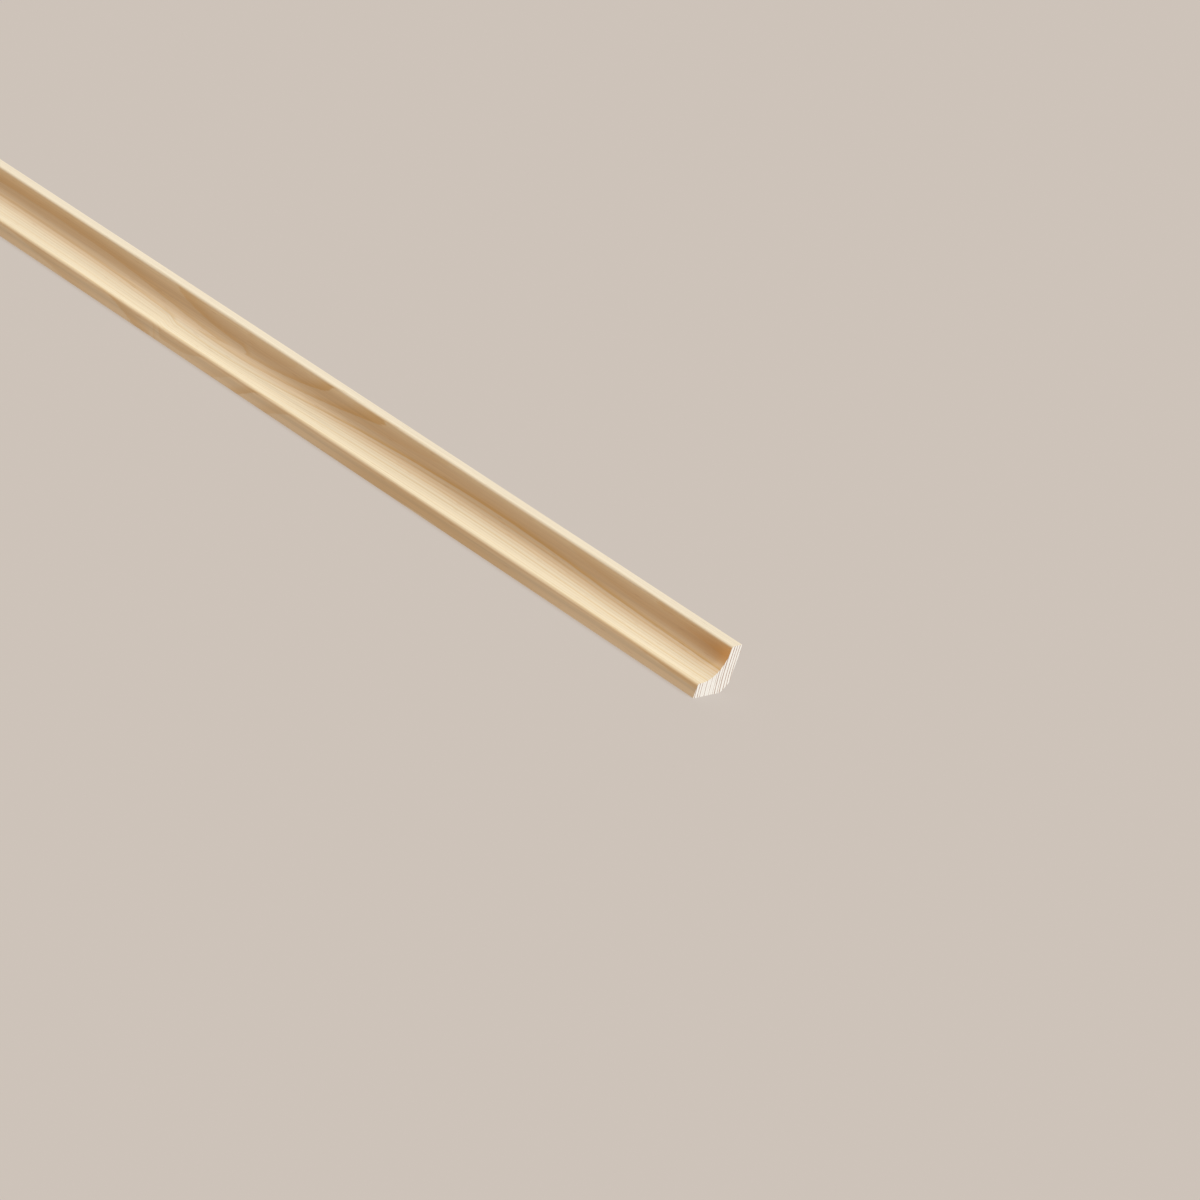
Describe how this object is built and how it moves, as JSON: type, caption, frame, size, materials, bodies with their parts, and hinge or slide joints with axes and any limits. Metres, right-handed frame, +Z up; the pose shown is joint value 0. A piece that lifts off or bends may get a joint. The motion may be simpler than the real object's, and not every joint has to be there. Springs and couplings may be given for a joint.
{
  "type": "scotia moulding",
  "caption": "Length of planed pine scotia: a square strip hollowed along its front to a quarter-round cove between two flat lips, to trim an inside corner.",
  "frame": {"origin": "centre of the floor face, midway along the length and across the section's full width", "axes": "+X along the length, +Z up from the floor face, -Y towards the hollow front, +Y towards the wall face"},
  "size_m": [2.4, 0.018, 0.018],
  "materials": {
    "planed_pine": "planed, unfinished softwood"
  },
  "bodies": {
    "root": {"scotia_moulding": "planed_pine"}
  },
  "joints": []
}
